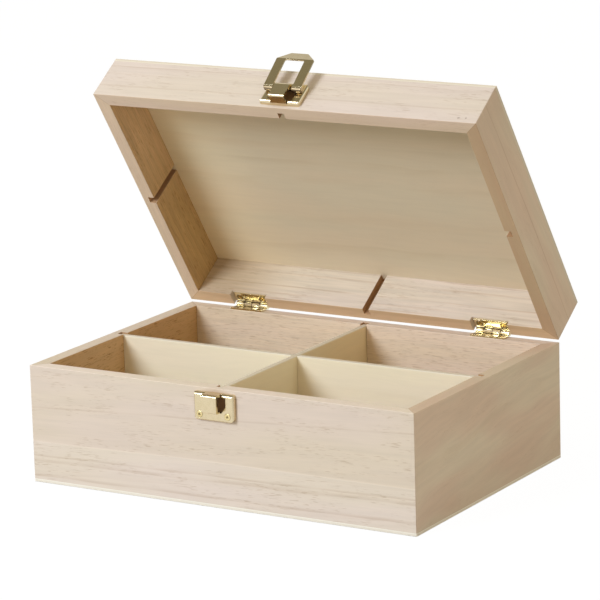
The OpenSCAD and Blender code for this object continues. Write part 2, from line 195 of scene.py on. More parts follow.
# the figure of a sawn board, in millimetres with the grain along x
def buildWoodFigure():
    tree, given, made = makeGroup("woodFigure", [
        ("Vector", "Vector", None), ("Seed", "Float", 0.0), ("Slope", "Float", 0.03),
        ("Pith", "Vector", (0.0, 0.0, 160.0)), ("Ring Spacing", "Float", 7.0), ("Waver", "Float", 5.0),
        ("Dash Cover", "Float", 0.0), ("Drift Length", "Float", 120.0),
    ], ["Bands", "Rings", "Fibres", "Dashes", "Drift"])
    seed = given["Seed"]
    acrossOnly = (0.0, 1.0, 1.0)
    shift = vectorCalc(tree, "MULTIPLY", joined(tree, seed, seed, seed), grain["seedStep"])
    place = vectorCalc(tree, "ADD", given["Vector"], shift)

    # the grain runs at a slight slope and wavers
    slow = noise(tree, vectorCalc(tree, "DIVIDE", place, grain["waverSize"]), grain["waverDetail"])
    push = vectorCalc(tree, "SUBTRACT", slow.outputs["Color"], (0.5, 0.5, 0.5))
    push = vectorCalc(tree, "MULTIPLY", scaled(tree, push, given["Waver"]), acrossOnly)
    lean = joined(tree, z=product(tree, split(tree, given["Vector"])[0], given["Slope"], -1.0))
    bend = vectorCalc(tree, "ADD", push, lean)
    along = vectorCalc(tree, "ADD", place, bend)

    # growth rings: thin dark lines where the rings about the pith come to the surface
    across = vectorCalc(tree, "SUBTRACT", vectorCalc(tree, "ADD", given["Vector"], bend), given["Pith"])
    radius = vectorLength(tree, vectorCalc(tree, "MULTIPLY", across, acrossOnly))
    turns = calc(tree, "DIVIDE", radius, given["Ring Spacing"])
    uneven = noise(tree, joined(tree, product(tree, turns, grain["ringWander"]), seed), detail=1.0)
    turns = calc(tree, "ADD", turns, product(tree, uneven.outputs["Fac"], grain["ringUneven"]))
    phase = calc(tree, "FRACT", turns)
    ring = product(tree, rising(tree, phase, *grain["ringRise"]), falling(tree, phase, *grain["ringFall"]))
    weight = addNode(tree, "TexWhiteNoise", {"Vector": joined(tree, calc(tree, "FLOOR", turns), seed)})
    weight = remap(tree, weight.outputs["Value"], *grain["ringWeights"], grain["lightestRing"], 1.0)
    gaps = streaks(tree, place, grain["ringGapSize"], grain["ringGapShows"], grain["faintestRing"])
    tree.links.new(product(tree, ring, weight, gaps), made["Rings"])

    # bands: wide soft streaks; fibres: hair-fine ones
    bands = streaks(tree, along, grain["bandSize"], grain["bandShows"], detail=grain["bandDetail"])
    tree.links.new(bands, made["Bands"])
    fibres = streaks(tree, along, grain["fibreSize"], grain["fibreShows"], detail=grain["fibreDetail"],
                     roughness=grain["fibreRoughness"], smooth=False)
    tree.links.new(fibres, made["Fibres"])

    # dashes: short open pores that gather in patches
    dashes = streaks(tree, along, grain["dashSize"], grain["dashShows"])
    patches = streaks(tree, place, grain["patchSize"], grain["patchShows"], given["Dash Cover"])
    tree.links.new(product(tree, dashes, patches), made["Dashes"])

    # drift: slow change of tone over the whole board
    driftSize = joined(tree, given["Drift Length"], grain["driftWidth"], grain["driftWidth"])
    tree.links.new(streaks(tree, along, driftSize, grain["driftShows"]), made["Drift"])
    return tree


veinLine = {  # sharp below and soft above, and faint in the gaps
    "wave": 62.0, "lowerEdge": -0.35,
    "gapRate": 1.7, "gapSeed": 4.0, "gapShows": (0.35, 0.6), "faintest": 0.35,
}


# one growth line that runs the whole length of a board
def buildGrowthVein():
    tree, given, made = makeGroup("growthVein", [
        ("Vector", "Vector", None), ("Seed", "Float", 0.0), ("Height", "Float", 40.0),
        ("Slope", "Float", 0.0), ("Waver", "Float", 2.6), ("Width", "Float", 1.0),
    ], ["Vein"])
    parts = split(tree, given["Vector"])
    along = calc(tree, "DIVIDE", parts[0], veinLine["wave"])
    wave = noise(tree, joined(tree, along, given["Seed"]), detail=1.0).outputs["Fac"]
    wave = product(tree, calc(tree, "SUBTRACT", wave, 0.5), given["Waver"])
    line = calc(tree, "ADD", given["Height"], product(tree, parts[0], given["Slope"]))
    away = calc(tree, "SUBTRACT", calc(tree, "SUBTRACT", parts[2], line), wave)
    away = calc(tree, "DIVIDE", away, given["Width"])
    shape = product(tree, rising(tree, away, veinLine["lowerEdge"], 0.0), falling(tree, away, 0.0, 1.0))
    gapAt = joined(tree, product(tree, along, veinLine["gapRate"]), given["Seed"], veinLine["gapSeed"])
    gaps = noise(tree, gapAt, detail=1.0).outputs["Fac"]
    gaps = remap(tree, gaps, *veinLine["gapShows"], veinLine["faintest"], 1.0)
    tree.links.new(product(tree, shape, gaps), made["Vein"])
    return tree


faceEdges = {  # millimetres over which one face of a board gives way to the next
    "inner": (0.08, 0.2), "rim": (-0.2, -0.08),
    "grooveSide": (0.02, 0.08), "grooveMouth": (0.05, 0.4), "grooveFloor": (0.03, 0.1),
}


# where a board's inner face, its rim and its groove are
def buildBoardFaces():
    tree, given, made = makeGroup("boardFaces", [
        ("Vector", "Vector", None), ("Inner", "Float", 74.5), ("Rim", "Float", 66.0),
        ("Side", "Float", 1.0), ("Groove Half", "Float", 2.0), ("Groove Depth", "Float", 4.0),
    ], ["Inner", "Rim", "Groove"])
    parts = split(tree, given["Vector"])
    deep = calc(tree, "SUBTRACT", calc(tree, "ABSOLUTE", parts[1]), given["Inner"])
    tree.links.new(falling(tree, deep, *faceEdges["inner"]), made["Inner"])
    above = product(tree, calc(tree, "SUBTRACT", parts[2], given["Rim"]), given["Side"])
    tree.links.new(rising(tree, above, *faceEdges["rim"]), made["Rim"])
    beside = calc(tree, "SUBTRACT", calc(tree, "ABSOLUTE", parts[0]), given["Groove Half"])
    floor = calc(tree, "SUBTRACT", deep, given["Groove Depth"])
    groove = product(tree, falling(tree, beside, *faceEdges["grooveSide"]),
                     rising(tree, deep, *faceEdges["grooveMouth"]),
                     falling(tree, floor, *faceEdges["grooveFloor"]))
    tree.links.new(groove, made["Groove"])
    return tree


# the thin line of the mitres, at 45 degrees across each corner
def buildMitreLine():
    tree, given, made = makeGroup("mitreLine", [
        ("Vector", "Vector", None), ("Offset", "Float", 37.5), ("Width", "Float", 0.35),
    ], ["Line"])
    parts = split(tree, given["Vector"])
    gap = calc(tree, "SUBTRACT", calc(tree, "ABSOLUTE", parts[0]), calc(tree, "ABSOLUTE", parts[1]))
    gap = calc(tree, "ABSOLUTE", calc(tree, "SUBTRACT", gap, given["Offset"]))
    gap = calc(tree, "DIVIDE", gap, given["Width"])
    tree.links.new(falling(tree, gap, 0.0, 1.0, False), made["Line"])
    return tree


gluedSeam = {"leftEnd": -120.0, "soft": 0.15}


# two boards glued edge to edge
def buildGluedBoard():
    tree, given, made = makeGroup("gluedBoard", [
        ("Vector", "Vector", None), ("Seam", "Float", 25.0), ("Rise", "Float", 0.0), ("Width", "Float", 0.5),
    ], ["Lower", "Line"])
    parts = split(tree, given["Vector"])
    rise = remap(tree, parts[0], gluedSeam["leftEnd"], 0.0, given["Rise"], 0.0)
    above = calc(tree, "SUBTRACT", parts[2], calc(tree, "ADD", given["Seam"], rise))
    tree.links.new(falling(tree, above, -gluedSeam["soft"], gluedSeam["soft"]), made["Lower"])
    near = calc(tree, "DIVIDE", calc(tree, "ABSOLUTE", above), given["Width"])
    tree.links.new(falling(tree, near, 0.0, 1.0), made["Line"])
    return tree


# every other veneer, and the glue between them
def buildPlyLayers():
    tree, given, made = makeGroup("plyLayers", [
        ("Depth", "Float", 0.0), ("Pitch", "Float", 1.0), ("Glue Width", "Float", 0.08),
    ], ["Layer", "Glue"])
    turns = calc(tree, "DIVIDE", given["Depth"], given["Pitch"])
    layer = calc(tree, "MODULO", calc(tree, "FLOOR", turns), 2.0)
    tree.links.new(calc(tree, "ABSOLUTE", layer), made["Layer"])
    edge = calc(tree, "ABSOLUTE", calc(tree, "SUBTRACT", calc(tree, "FRACT", turns), 0.5))
    edge = product(tree, calc(tree, "SUBTRACT", 0.5, edge), given["Pitch"])
    edge = calc(tree, "DIVIDE", edge, given["Glue Width"])
    tree.links.new(falling(tree, edge, 0.0, 1.0, False), made["Glue"])
    return tree


spotCore = 0.3  # share of its size where a spot has its full strength


# a round soft spot: a small knock in the wood, and the mask of the painted shade behind a latch plate
def buildRoundSpot():
    tree, given, made = makeGroup("dent", [
        ("Vector", "Vector", None), ("Centre", "Vector", (0.0, 0.0, 0.0)),
        ("Size", "Vector", (1.0, 1.0, 1.0)),
    ], ["Dent"])
    away = vectorCalc(tree, "SUBTRACT", given["Vector"], given["Centre"])
    reach = vectorLength(tree, vectorCalc(tree, "DIVIDE", away, given["Size"]))
    tree.links.new(falling(tree, reach, spotCore, 1.0), made["Dent"])
    return tree


# painted light and shade: a tone that grows from one place to another
def buildPaintedShadingFade():
    tree, given, made = makeGroup("paintedShadingFade", [
        ("Vector", "Vector", None), ("Way", "Vector", (1.0, 0.0, 0.0)),
        ("Start", "Float", 0.0), ("End", "Float", 1.0),
    ], ["Fade"])
    along = addNode(tree, "VectorMath", {0: given["Vector"], 1: given["Way"]}, operation="DOT_PRODUCT")
    tree.links.new(rising(tree, along.outputs["Value"], given["Start"], given["End"]), made["Fade"])
    return tree


smudgeShows = (0.35, 0.7)


def buildMetalWear():
    tree, given, made = makeGroup("metalWear", [
        ("Vector", "Vector", None), ("Smudge Size", "Float", 3.0), ("Grain Size", "Float", 0.16),
    ], ["Smudge", "Grain"])
    smudgeAt = scaled(tree, given["Vector"], calc(tree, "DIVIDE", 1.0, given["Smudge Size"]))
    smudge = noise(tree, smudgeAt, detail=3.0)
    tree.links.new(rising(tree, smudge.outputs["Fac"], *smudgeShows), made["Smudge"])
    gritAt = scaled(tree, given["Vector"], calc(tree, "DIVIDE", 1.0, given["Grain Size"]))
    tree.links.new(noise(tree, gritAt).outputs["Fac"], made["Grain"])
    return tree


woodFigure = buildWoodFigure()
growthVein = buildGrowthVein()
boardFaces = buildBoardFaces()
mitreLine = buildMitreLine()
gluedBoard = buildGluedBoard()
plyLayers = buildPlyLayers()
dent = buildRoundSpot()
paintedShadingFade = buildPaintedShadingFade()
metalWear = buildMetalWear()
print("node groups built")


lid = {"angle": 56.0, "axisY": 83.1, "axisZ": 67.7}
hingePoint = Vector((0.0, lid["axisY"], lid["axisZ"]))


# object coordinates in millimetres, with the lid shut and the grain along x
def boardPlace(tree, onLid, turn):
    angle = radians(lid["angle"] if onLid else 0.0)
    shut = Matrix.Rotation(angle, 3, "X")
    quarter = Matrix.Rotation(radians(turn), 3, "Z")
    return addNode(tree, "Mapping", {
        "Vector": addNode(tree, "TexCoord").outputs["Object"], "Scale": (1 / mm,) * 3,
        "Location": quarter @ (hingePoint - shut @ hingePoint), "Rotation": (angle, 0.0, radians(turn)),
    }).outputs[0]


rail = {
    "outer": paint(223, 207, 187), "inner": paint(226, 204, 176), "rim": paint(222, 206, 183),
    "seed": 1.0, "slope": 0.03, "pith": (0.0, 0.0, 160.0), "spacing": 7.0, "waver": 5.0,
    "bandDepth": 0.02, "fibreDepth": 0.016, "ringDepth": 0.2, "dashDepth": 0.5, "driftDepth": 0.8,
    "dashCover": 0.0, "driftLength": 120.0, "innerGain": 1.6, "rimGain": 0.6,
    "ringTint": paint(232, 225, 216), "dashTint": paint(214, 200, 184), "veinTint": paint(225, 214, 202),
    "driftTint": (1.02, 1.005, 1.09, 1.0), "grooveTint": paint(210, 182, 150),
    "innerX": 112.0, "innerY": 74.5, "baseRim": 66.0, "lidRim": 66.4,
    "mitreAt": 37.5, "mitreDepth": 0.6, "mitreTint": paint(200, 176, 150),
    "seam": None, "seamWidth": 0.9, "seamDepth": 0.9, "seamTint": (1.075, 1.08, 1.09, 1.0),
    "lowerStep": (230.0, 17.0, 9.0), "lowerTint": (1.05, 1.07, 1.115, 1.0),  # the board below the seam
    "veins": [],  # height, slope, width, strength
    "dents": [],  # centre, size
    "dentDepth": 0.8, "dentDrop": 8.0, "dentTint": paint(205, 200, 196),
    "paintedShading": [],  # painted light and shade: inner face only, way, start, end, tint
    "shadeBehindPlate": None, "shadeBehindPlateTint": paint(168, 136, 96),  # painted shade on the wood seen through a latch plate's window
    "roughness": (0.5, 0.6), "dashRoughness": 0.15, "specular": 0.25, "fibreRelief": 0.3, "relief": 0.03,
}
boards = {
    "base_front_rail": {
        "turn": 0, "seed": 1.0, "slope": 0.05, "pith": (0.0, 0.0, 190.0), "spacing": 6.0, "waver": 4.0,
        "rim": paint(237, 223, 206), "seam": 25.5, "seamRise": -2.0, "ringDepth": 0.16,
        "veins": [(48.6, 0.0525, 1.2, 0.4), (17.5, 0.017, 1.4, 0.5), (14.5, 0.02, 2.2, 0.45),
                  (5.3, 0.011, 1.8, 0.5)],
        "shadeBehindPlate": ((0.0, -82.5, 57.5), (16.0, 3.0, 10.0)),
    },
    "base_right_rail": {
        "turn": -90, "seed": 2.3, "slope": 0.12, "pith": (0.0, 60.0, -90.0), "spacing": 14.0, "waver": 12.0,
        "outer": paint(231, 216, 195), "rim": paint(216, 198, 175), "driftDepth": 1.0, "driftLength": 60.0,
        "driftTint": (0.975, 0.89, 0.89, 1.0), "bandDepth": 0.025, "ringDepth": 0.3, "dashDepth": 0.15,
        "paintedShading": [(False, (0.0, 0.0, 1.0), 34.0, 4.0, (0.92, 0.895, 0.885, 1.0))],
    },
    "base_back_rail": {
        "turn": 0, "seed": 3.1, "pith": (0.0, 50.0, 120.0), "inner": paint(234, 213, 187),
        "rim": paint(228, 212, 192), "fibreDepth": 0.045, "ringDepth": 0.12, "dashDepth": 0.35,
        "dashCover": 0.8, "paintedShading": [(True, (1.0, 0.0, 0.0), -30.0, -110.0, (0.93, 0.93, 0.92, 1.0))],
    },
    "base_left_rail": {
        # painted shade: the inner face is browner, as it is turned from the light
        "turn": -90, "seed": 4.7, "pith": (0.0, -150.0, 20.0), "spacing": 4.0, "inner": paint(208, 174, 127),
        "fibreDepth": 0.035, "ringDepth": 0.3, "dashDepth": 0.9, "dashCover": 0.4,
        "paintedShading": [(True, (1.0, 0.0, 0.0), -40.0, 40.0, (1.0, 0.95, 0.88, 1.0))],
    },
    "lid_front_rail": {
        "turn": 0, "seed": 5.2, "slope": 0.0, "pith": (0.0, 0.0, -60.0), "spacing": 4.5, "waver": 2.5,
        "outer": paint(221, 207, 192), "rim": paint(223, 199, 172),
        "bandDepth": 0.022, "fibreDepth": 0.024, "ringDepth": 0.22,
        "veins": [(89.6, 0.0, 0.9, 0.5), (75.0, 0.008, 1.4, 0.35)],
        "dents": [((108.5, -82.5, 69.6), (1.1, 1.0, 0.8)), ((112.8, -82.5, 69.8), (0.8, 1.0, 0.6))],
        "shadeBehindPlate": ((0.0, -82.5, 75.0), (16.0, 3.0, 10.0)),
    },
    "lid_right_rail": {
        "turn": -90, "seed": 6.4, "slope": 0.06, "pith": (0.0, 60.0, 40.0), "spacing": 12.0, "waver": 8.0,
        "outer": paint(231, 214, 193), "rim": paint(204, 177, 143), "driftDepth": 1.0, "driftLength": 60.0,
        "driftTint": (0.98, 0.91, 0.91, 1.0), "bandDepth": 0.02, "ringDepth": 0.25, "dashDepth": 0.15,
        "veins": [(81.0, 0.01, 0.8, 0.6)],
        "paintedShading": [(False, (1.0, 0.0, 0.0), -15.0, -75.0, (0.94, 0.95, 0.94, 1.0))],
    },
    "lid_back_rail": {
        "turn": 0, "seed": 7.9, "slope": 0.0, "pith": (0.0, 50.0, 20.0), "spacing": 3.0, "waver": 2.0,
        "inner": paint(226, 212, 193), "rim": paint(218, 189, 150), "ringTint": paint(228, 212, 194),
        "bandDepth": 0.04, "fibreDepth": 0.022, "ringDepth": 0.5, "dashDepth": 0.3,
        "veins": [(92.6, 0.0, 1.2, 0.6)],
        "paintedShading": [(True, (1.0, 0.0, 0.0), -45.0, -100.0, (0.76, 0.68, 0.56, 1.0))],
    },
    "lid_left_rail": {
        "turn": -90, "seed": 8.5, "pith": (0.0, -160.0, 10.0), "spacing": 3.0, "waver": 2.0,
        # painted shade: the inner face is browner, as it is turned from the light
        "inner": paint(221, 187, 141), "rim": paint(224, 199, 168),
        "bandDepth": 0.025, "fibreDepth": 0.09, "ringDepth": 0.3, "dashDepth": 0.5, "dashCover": 0.4,
        "paintedShading": [(True, (1.0, 0.0, 0.0), -50.0, 25.0, (0.755, 0.73, 0.6, 1.0))],
    },
}


def figureLevel(tree, figure, look):  # how much the bands and fibres lighten or darken
    bands = product(tree, calc(tree, "SUBTRACT", figure["Bands"], 0.5), look["bandDepth"] * 2)
    fibres = product(tree, calc(tree, "SUBTRACT", figure["Fibres"], 0.5), look["fibreDepth"] * 2)
    return calc(tree, "ADD", bands, fibres)


# painted light and shade: tints that grow along a board, darker in shaded corners and sides, lighter on the
# lid panel
def withPaintedShading(tree, colour, place, paintedShading, face):
    for onFace, way, start, end, tint in paintedShading:
        shadingMask = useGroup(tree, paintedShadingFade, vector=place, way=way, start=start, end=end)["Fade"]
        colour = tinted(tree, colour, shadingMask, face if onFace else 1.0, tint)
    return colour


def finishWood(tree, shader, look, colour, rough, height):
    tree.links.new(colour, shader["Base Color"])
    tree.links.new(rough, shader["Roughness"])
    shader["Specular IOR Level"].default_value = look["specular"]
    tree.links.new(bump(tree, height, look["relief"] * mm), shader["Normal"])


def boardTones(tree, place, faces, figure, gain, look):
    colour = blendColour(tree, faces["Inner"], look["outer"], look["inner"])
    colour = blendColour(tree, faces["Rim"], colour, look["rim"])
    colour = tinted(tree, colour, figure["Drift"], look["driftDepth"], look["driftTint"])
    level = product(tree, figureLevel(tree, figure, look), gain)
    colour = scaled(tree, colour, calc(tree, "ADD", level, 1.0))
    colour = tinted(tree, colour, product(tree, figure["Rings"], gain), look["ringDepth"], look["ringTint"])
    colour = tinted(tree, colour, product(tree, figure["Dashes"], gain), look["dashDepth"], look["dashTint"])
    for i, (height, slope, width, strength) in enumerate(look["veins"]):
        vein = useGroup(tree, growthVein, vector=place, seed=look["seed"] + i, height=height, slope=slope,
                        width=width)["Vein"]
        colour = tinted(tree, colour, vein, strength, look["veinTint"])
    return colour


def woodMaterial(name, values, onLid):
    look = dict(rail, **values)
    material, tree, shader = newMaterial(name)
    place = boardPlace(tree, onLid, look["turn"])
    isLong = look["turn"] == 0  # the front and back rails
    faces = useGroup(tree, boardFaces, vector=place, inner=look["innerY"] if isLong else look["innerX"],
                     rim=look["lidRim"] if onLid else look["baseRim"], side=-1.0 if onLid else 1.0)

    figureAt = place
    if look["seam"]:
        glued = useGroup(tree, gluedBoard, vector=place, seam=look["seam"], rise=look["seamRise"],
                         width=look["seamWidth"])
        figureAt = vectorCalc(tree, "ADD", place, scaled(tree, look["lowerStep"], glued["Lower"]))
    figure = useGroup(tree, woodFigure, vector=figureAt, seed=look["seed"], slope=look["slope"],
                      pith=look["pith"], ringSpacing=look["spacing"], waver=look["waver"],
                      dashCover=look["dashCover"], driftLength=look["driftLength"])

    # sawn inner faces show more figure than the sanded outer ones
    gain = blendValue(tree, faces["Inner"], 1.0, look["innerGain"])
    gain = blendValue(tree, faces["Rim"], gain, look["rimGain"])
    colour = boardTones(tree, place, faces, figure, gain, look)
    if look["seam"]:
        colour = tinted(tree, colour, glued["Lower"], 1.0, look["lowerTint"])
        colour = tinted(tree, colour, glued["Line"], look["seamDepth"], look["seamTint"])
    colour = withPaintedShading(tree, colour, place, look["paintedShading"], faces["Inner"])
    colour = tinted(tree, colour, faces["Groove"], 1.0, look["grooveTint"])
    mitre = useGroup(tree, mitreLine, vector=place, offset=look["mitreAt"] if isLong else -look["mitreAt"])
    colour = tinted(tree, colour, mitre["Line"], look["mitreDepth"], look["mitreTint"])

    height = calc(tree, "SUBTRACT", product(tree, figure["Fibres"], look["fibreRelief"]),
                  product(tree, figure["Dashes"], gain))
    for centre, size in look["dents"]:
        knock = useGroup(tree, dent, vector=place, centre=centre, size=size)["Dent"]
        colour = tinted(tree, colour, knock, look["dentDepth"], look["dentTint"])
        height = calc(tree, "SUBTRACT", height, product(tree, knock, look["dentDrop"]))
    # painted shade on the wood behind the latch plate
    if look["shadeBehindPlate"]:
        centre, size = look["shadeBehindPlate"]
        plateShade = useGroup(tree, dent, vector=place, centre=centre, size=size)["Dent"]
        colour = tinted(tree, colour, plateShade, 1.0, look["shadeBehindPlateTint"])
    rough = remap(tree, figure["Fibres"], 0.0, 1.0, *look["roughness"], False)
    rough = calc(tree, "ADD", rough, product(tree, figure["Dashes"], look["dashRoughness"]))
    finishWood(tree, shader, look, colour, rough, height)
    return material


ply = {
    "face": paint(228, 214, 188), "edge": paint(232, 224, 210), "core": paint(222, 210, 192),
    "slope": 0.02, "pith": (0.0, 300.0, -260.0), "spacing": 14.0, "waver": 9.0,
    "ringTint": paint(236, 229, 218), "driftTint": (0.985, 1.0, 0.96, 1.0),
    "ringDepth": 0.35, "bandDepth": 0.012, "fibreDepth": 0.012, "driftDepth": 0.8,
    "veneers": 3, "cutEdge": (0.02, 0.06), "cutDepth": 0.85,
    "glueDepth": 0.35, "glueTint": paint(210, 190, 165),
    "lowerFace": (0.2, 0.5), "paintedShading": [],  # painted light and shade: lower face only, way, start, end, tint
    "roughness": (0.48, 0.6), "specular": 0.25, "relief": 0.012,
}
sheets = {  # axis is the one across the sheet, and start is where its veneers are counted from
    "bottom_panel": {
        "turn": 0, "seed": 11.0, "axis": 2, "start": 0.0, "thick": 2.0,
        "edge": paint(252, 246, 236), "core": paint(244, 236, 222),
    },
    "top_panel": {
        "turn": 0, "seed": 12.6, "axis": 2, "start": 93.4, "thick": 2.0,
        "face": paint(222, 209, 183), "driftTint": (1.03, 0.985, 0.97, 1.0),
        "paintedShading": [(True, (1.0, 0.0, 0.0), -40.0, -105.0, (1.19, 1.17, 1.09, 1.0))],
    },
    "long_divider": {
        "turn": 0, "seed": 13.4, "axis": 1, "start": -1.75, "thick": 3.5,
        "face": paint(243, 231, 208), "ringDepth": 0.15,
    },
    "cross_divider": {
        "turn": -90, "seed": 14.8, "axis": 1, "start": -1.75, "thick": 3.5,
        "face": paint(246, 234, 206), "ringDepth": 0.15,
        "paintedShading": [(False, (1.0, 0.0, 0.0), -10.0, 50.0, (1.0, 0.935, 0.84, 1.0))],
    },
}


def plyMaterial(name, values, onLid):
    look = dict(ply, **values)
    material, tree, shader = newMaterial(name)
    place = boardPlace(tree, onLid, look["turn"])
    figure = useGroup(tree, woodFigure, vector=place, seed=look["seed"], slope=look["slope"],
                      pith=look["pith"], ringSpacing=look["spacing"], waver=look["waver"])
    colour = tinted(tree, look["face"], figure["Drift"], look["driftDepth"], look["driftTint"])
    colour = scaled(tree, colour, calc(tree, "ADD", figureLevel(tree, figure, look), 1.0))
    colour = tinted(tree, colour, figure["Rings"], look["ringDepth"], look["ringTint"])
    depth = calc(tree, "SUBTRACT", split(tree, place)[look["axis"]], look["start"])
    colour = withPaintedShading(tree, colour, place, look["paintedShading"], falling(tree, depth, *look["lowerFace"]))

    # the cut edges show the veneers
    layers = useGroup(tree, plyLayers, depth=depth, pitch=look["thick"] / look["veneers"])
    cut = blendColour(tree, layers["Layer"], look["edge"], look["core"])
    cut = tinted(tree, cut, layers["Glue"], look["glueDepth"], look["glueTint"])
    near, far = look["cutEdge"]
    inside = product(tree, rising(tree, depth, near, far),
                     falling(tree, depth, look["thick"] - far, look["thick"] - near))
    colour = blendColour(tree, product(tree, inside, look["cutDepth"]), colour, cut)
    rough = remap(tree, figure["Fibres"], 0.0, 1.0, *look["roughness"], False)
    finishWood(tree, shader, look, colour, rough, calc(tree, "SUBTRACT", figure["Fibres"], layers["Glue"]))
    return material


def finishNode(name, material):
    piece = nodes[name]
    if not piece.material_slots:
        piece.data.materials.append(material)
    for slot in piece.material_slots:
        slot.material = material


for name, values in boards.items():
    finishNode(name, woodMaterial(name + "Wood", values, name.startswith("lid")))
for name, values in sheets.items():
    finishNode(name, plyMaterial(name + "Ply", values, name == "top_panel"))
print("wood finished")


brass = {  # bright and dull tones, roughness, and how much rougher a smudge is
    "leafGold": (paint(243, 233, 199), paint(233, 217, 170), 0.13, 0.05),
    "latchGold": (paint(222, 206, 171), paint(213, 196, 156), 0.15, 0.06),
    "screwGold": (paint(236, 218, 164), paint(206, 180, 112), 0.2, 0.1),
    "oldScrewGold": (paint(204, 172, 108), paint(170, 136, 78), 0.22, 0.1),
    "wireGold": (paint(226, 208, 164), paint(196, 172, 116), 0.2, 0.1),
}
wear = {
    # painted shade in the hollows and gaps of the brass, from a vertex layer
    "smudgeDepth": 0.4, "paintedShadeDepth": 0.85, "paintedShadeTint": paint(96, 70, 42), "paintedShadeRoughness": 0.25,
    "relief": 0.002,
}


def brassMaterial(name, bright, dull, roughness, spread):
    material, tree, shader = newMaterial(name)
    coords = addNode(tree, "TexCoord").outputs["Object"]
    place = addNode(tree, "Mapping", {"Vector": coords, "Scale": (1 / mm,) * 3}).outputs[0]
    worn = useGroup(tree, metalWear, vector=place)
    colour = blendColour(tree, product(tree, worn["Smudge"], wear["smudgeDepth"]), bright, dull)
    # painted shade: darker and rougher where the vertex layer says
    paintedShade = addNode(tree, "Attribute", attribute_name="paintedShade").outputs["Fac"]
    colour = tinted(tree, colour, paintedShade, wear["paintedShadeDepth"], wear["paintedShadeTint"])
    tree.links.new(colour, shader["Base Color"])
    rough = calc(tree, "ADD", roughness, product(tree, worn["Smudge"], spread))
    rough = calc(tree, "ADD", rough, product(tree, paintedShade, wear["paintedShadeRoughness"]))
    tree.links.new(rough, shader["Roughness"])
    shader["Metallic"].default_value = 1.0
    tree.links.new(bump(tree, worn["Grain"], wear["relief"] * mm), shader["Normal"])
    return material


metals = {name: brassMaterial(name, *look) for name, look in brass.items()}


def asMesh(shape, name):
    mesh = bpy.data.meshes.new(name)
    shape.to_mesh(mesh)
    shape.free()
    return mesh


def asObject(shape, name):
    piece = bpy.data.objects.new(name, asMesh(shape, name))
    bpy.context.scene.collection.objects.link(piece)
    return piece


brassWork = {
    "weld": 0.002, "flat": 0.6, "sliver": 0.001,  # what is merged: doubles, flat facets and slivers
    "sharp": 40.0, "segments": 2,  # edges that are softened
    "smooth": 35.0, "flatWeight": 100,  # angle up to which faces are shaded as one, and the pull of flats
}


def finishMetal(shape, name, body, metal, replaced):
    piece = asObject(shape, name)
    piece.data.set_sharp_from_angle(angle=radians(brassWork["smooth"]))
    even = piece.modifiers.new("evenNormals", "WEIGHTED_NORMAL")  # keeps the flats flat beside soft edges
    even.weight = brassWork["flatWeight"]
    even.keep_sharp = True
    piece.data.materials.append(metals[metal])
    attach(piece, body)
    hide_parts(replaced)


def mergeDoubles(shape):
    bmesh.ops.remove_doubles(shape, verts=shape.verts, dist=brassWork["weld"] * mm)


def mergeSlivers(shape):
    bmesh.ops.dissolve_degenerate(shape, dist=brassWork["sliver"] * mm, edges=shape.edges)


def turnOutwards(shape):
    bmesh.ops.recalc_face_normals(shape, faces=shape.faces)


def mergedCopy(name):
    shape = bmesh.new()
    shape.from_mesh(nodes[name].data)
    mergeDoubles(shape)
    bmesh.ops.dissolve_limit(shape, angle_limit=radians(brassWork["flat"]), verts=shape.verts,
                             edges=shape.edges)
    turnOutwards(shape)
    return shape


def softenEdges(shape, width):
    limit = radians(brassWork["sharp"])
    sharp = [e for e in shape.edges if e.is_manifold and e.calc_face_angle() > limit]
    bmesh.ops.bevel(shape, geom=sharp, offset=width * mm, offset_type="OFFSET", affect="EDGES",
                    segments=brassWork["segments"], profile=0.5, material=-1, clamp_overlap=False)
    mergeSlivers(shape)


lidOpening = (Matrix.Translation(hingePoint * mm) @ Matrix.Rotation(radians(-lid["angle"]), 4, "X")
              @ Matrix.Translation(-hingePoint * mm))
hinge = {
    "middle": 78.5, "screwReach": 7.5, "screwY": 78.5, "dish": 2.3, "dishShade": 0.8,
    "barrel": 1.8, "pitch": 5.25, "joint": 0.22, "jointReach": 8.0, "jointShade": 1.0,
}
hingeSpots = [side * hinge["middle"] + end * hinge["screwReach"] for side in (-1, 1) for end in (-1, 1)]


# painted shade in the dishes round the screws and between the knuckles
def paintHingeShade(shape, onLid):
    paintedShade = shape.verts.layers.float.new("paintedShade")
    shut = lidOpening.inverted() if onLid else Matrix.Identity(4)
    for v in shape.verts:
        spot = (shut @ v.co) / mm
        inDish = min(hypot(spot.x - x, spot.y - hinge["screwY"]) for x in hingeSpots) < hinge["dish"]
        beside = abs(spot.x) - hinge["middle"]
        atJoint = abs(beside - round(beside / hinge["pitch"]) * hinge["pitch"]) < hinge["joint"]
        onBarrel = hypot(spot.y - hingePoint.y, spot.z - hingePoint.z) < hinge["barrel"]
        between = atJoint and onBarrel and abs(beside) < hinge["jointReach"]
        v[paintedShade] = hinge["dishShade"] if inDish else hinge["jointShade"] if between else 0.0


bailEye = {"y": -87.4, "z": 76.7, "reach": 2.0, "lean": 7.0, "from": -0.35, "paintedShade": 0.85}


# painted shade on the rolled ends of the bail, dimming their reflection
def paintBailShade(shape):
    paintedShade = shape.verts.layers.float.new("paintedShade")
    for v in shape.verts:
        spot = (lidOpening.inverted() @ v.co) / mm
        y, z = spot.y - bailEye["y"], spot.z - bailEye["z"]
        along = z * cos(radians(bailEye["lean"])) - y * sin(radians(bailEye["lean"]))
        v[paintedShade] = bailEye["paintedShade"] if hypot(y, z) < bailEye["reach"] and along < bailEye["from"] else 0.0


